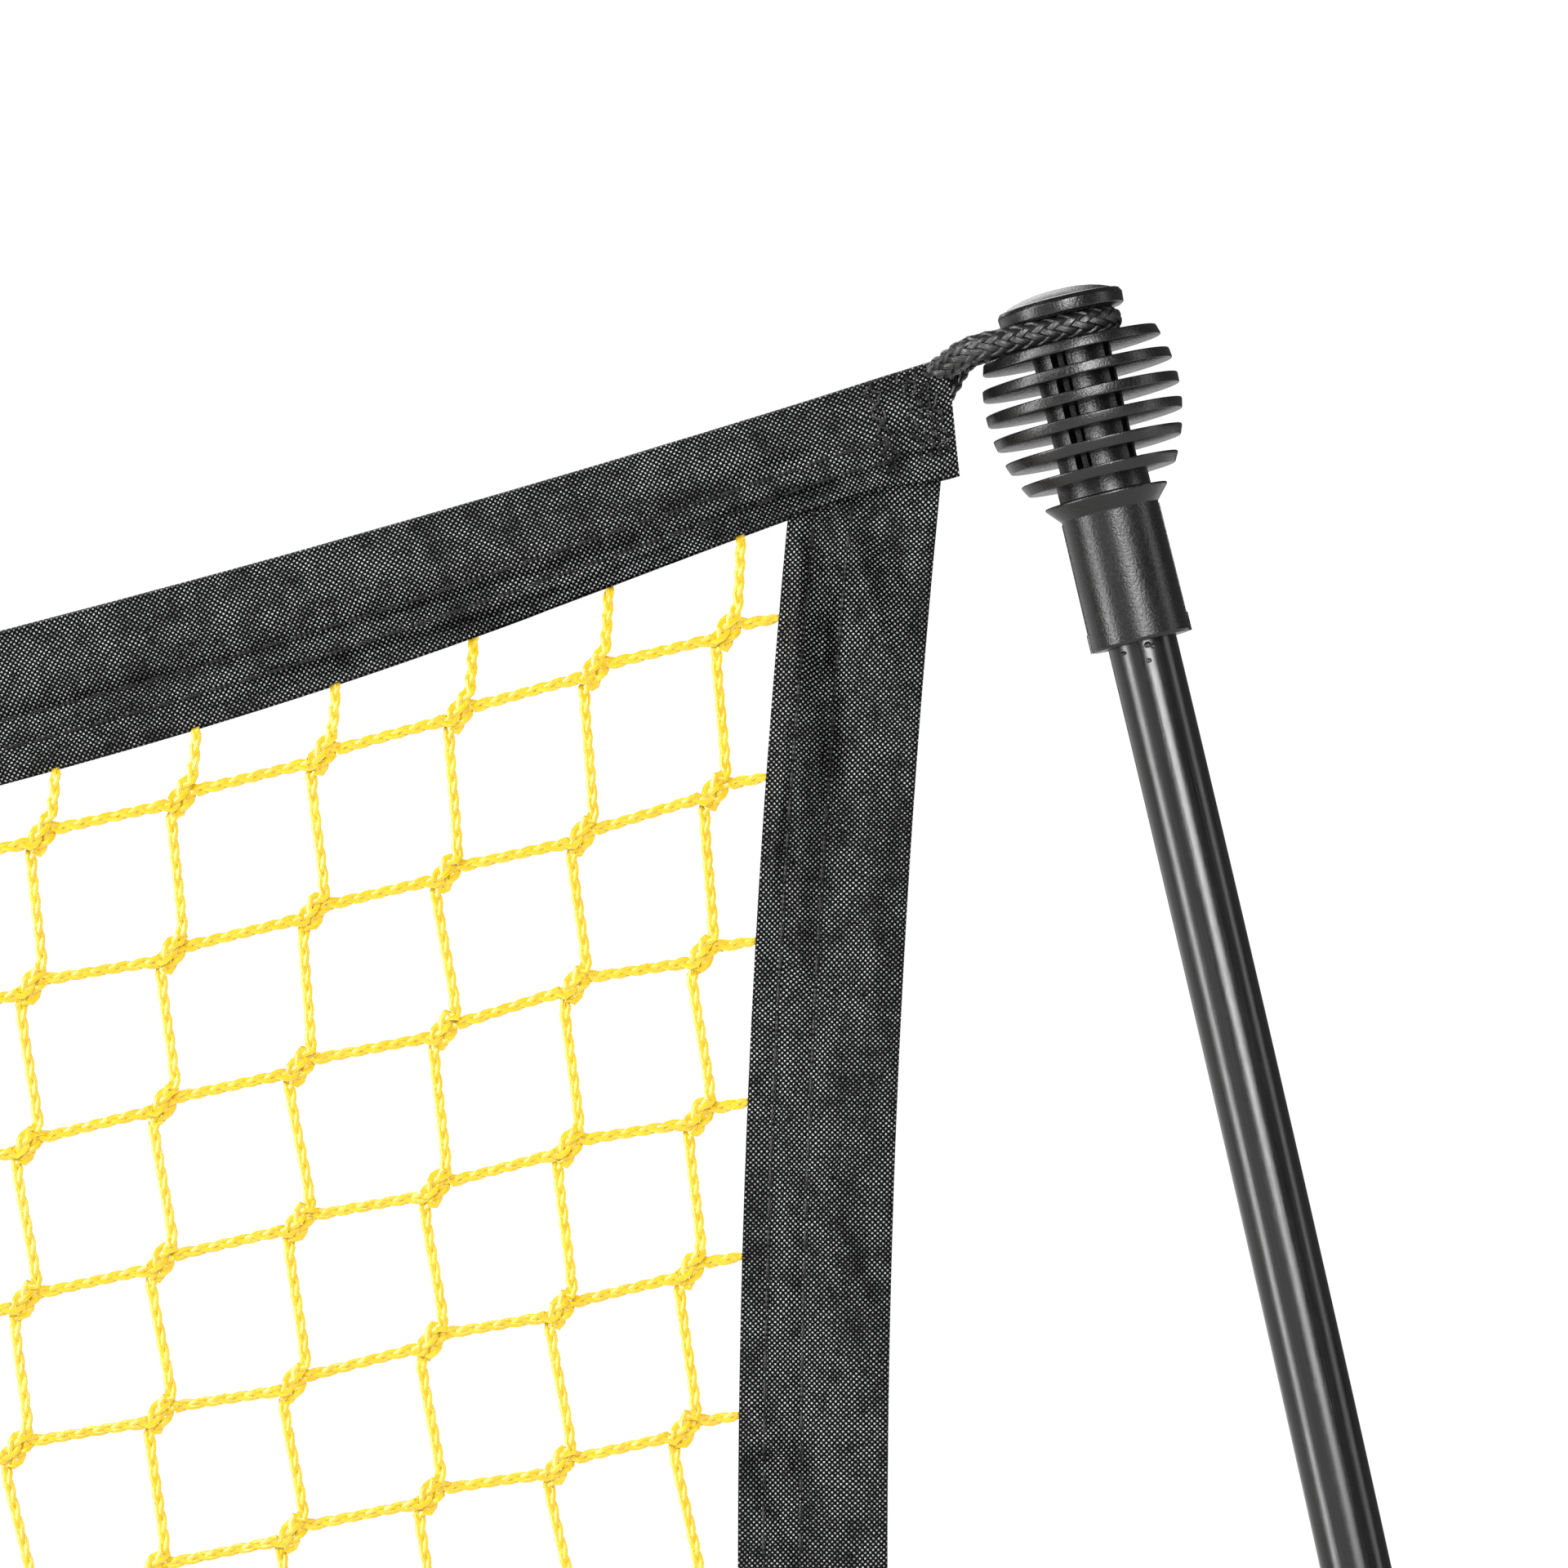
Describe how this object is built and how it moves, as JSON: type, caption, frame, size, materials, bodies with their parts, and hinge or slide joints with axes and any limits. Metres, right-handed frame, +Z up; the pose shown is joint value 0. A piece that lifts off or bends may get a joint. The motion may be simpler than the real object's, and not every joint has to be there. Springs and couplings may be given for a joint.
{
  "type": "lawn net",
  "caption": "Free-standing lawn net: bright yellow mesh in black tape, hung by rope loops from bowed fibreglass poles with finned heads, on a steel base with fold-out feet",
  "frame": {"origin": "centre of the base on the ground, midway between the two poles", "axes": "+X along the net towards the right pole, +Z up, front at -Y"},
  "size_m": [1.5408, 0.548, 0.9143],
  "materials": {
    "steel_black": "black powder coat on 22 mm and 19 mm steel tube",
    "zinc": "zinc plated steel",
    "nylon": "black moulded nylon",
    "head_plastic": "black moulded plastic, fine spark texture",
    "fibreglass": "black glossy fibreglass rod with fine lengthwise streaks",
    "rubber": "soft black rubber",
    "tape": "black woven polyester tape, folded and sewn with two rows of stitches",
    "rope": "black braided polyester rope",
    "mesh_cord": "bright yellow knotless netting cord"
  },
  "bodies": {
    "net_frame": {"base_rail_centre": "steel_black", "top_tape": "tape", "bottom_tape": "tape", "mesh_panel": "mesh_cord", "top_cord": "rope", "bottom_cord": "rope", "pole_head_right": "head_plastic", "pole_upper_right": "fibreglass", "pole_lower_right": "fibreglass", "pole_ferrule_right": "zinc", "loop_collar_right": "nylon", "hub_right": "nylon", "hub_pad_right": "rubber", "base_rail_right": "steel_black", "rail_screw_right": "zinc", "button_spring_right": "zinc", "side_tape_right": "tape", "loop_top_right": "rope", "loop_bottom_right": "rope", "pivot_bolt_right_front": "zinc", "pivot_nut_right_front": "zinc", "pivot_bolt_right_back": "zinc", "pivot_nut_right_back": "zinc", "pole_head_left": "head_plastic", "pole_upper_left": "fibreglass", "pole_lower_left": "fibreglass", "pole_ferrule_left": "zinc", "loop_collar_left": "nylon", "hub_left": "nylon", "hub_pad_left": "rubber", "base_rail_left": "steel_black", "rail_screw_left": "zinc", "button_spring_left": "zinc", "side_tape_left": "tape", "loop_top_left": "rope", "loop_bottom_left": "rope", "pivot_bolt_left_front": "zinc", "pivot_nut_left_front": "zinc", "pivot_bolt_left_back": "zinc", "pivot_nut_left_back": "zinc"},
    "foot_right_front": {"foot_knuckle_right_front": "nylon", "foot_tube_right_front": "steel_black", "foot_boot_right_front": "rubber"},
    "foot_right_back": {"foot_knuckle_right_back": "nylon", "foot_tube_right_back": "steel_black", "foot_boot_right_back": "rubber"},
    "button_right": {"snap_button_right": "zinc"},
    "foot_left_front": {"foot_knuckle_left_front": "nylon", "foot_tube_left_front": "steel_black", "foot_boot_left_front": "rubber"},
    "foot_left_back": {"foot_knuckle_left_back": "nylon", "foot_tube_left_back": "steel_black", "foot_boot_left_back": "rubber"},
    "button_left": {"snap_button_left": "zinc"}
  },
  "joints": [
    {"name": "foot_fold_right_front", "type": "hinge", "parent": "net_frame", "child": "foot_right_front", "pos_m": [0.715, -0.034, 0.02], "axis": [0, 0, 1], "range_deg": [-90, 0]},
    {"name": "foot_fold_right_back", "type": "hinge", "parent": "net_frame", "child": "foot_right_back", "pos_m": [0.715, 0.034, 0.02], "axis": [0, 0, 1], "range_deg": [0, 90]},
    {"name": "snap_button_press_right", "type": "slide", "parent": "net_frame", "child": "button_right", "axis": [0, 0, -1], "range_m": [0, 0.0056], "stiffness_N_per_m": 900, "springref_m": -0.002, "deforming": ["button_spring_right"]},
    {"name": "foot_fold_left_front", "type": "hinge", "parent": "net_frame", "child": "foot_left_front", "pos_m": [-0.715, -0.034, 0.02], "axis": [0, 0, 1], "range_deg": [0, 90]},
    {"name": "foot_fold_left_back", "type": "hinge", "parent": "net_frame", "child": "foot_left_back", "pos_m": [-0.715, 0.034, 0.02], "axis": [0, 0, 1], "range_deg": [-90, 0]},
    {"name": "snap_button_press_left", "type": "slide", "parent": "net_frame", "child": "button_left", "axis": [0, 0, -1], "range_m": [0, 0.0056], "stiffness_N_per_m": 900, "springref_m": -0.002, "deforming": ["button_spring_left"]}
  ]
}
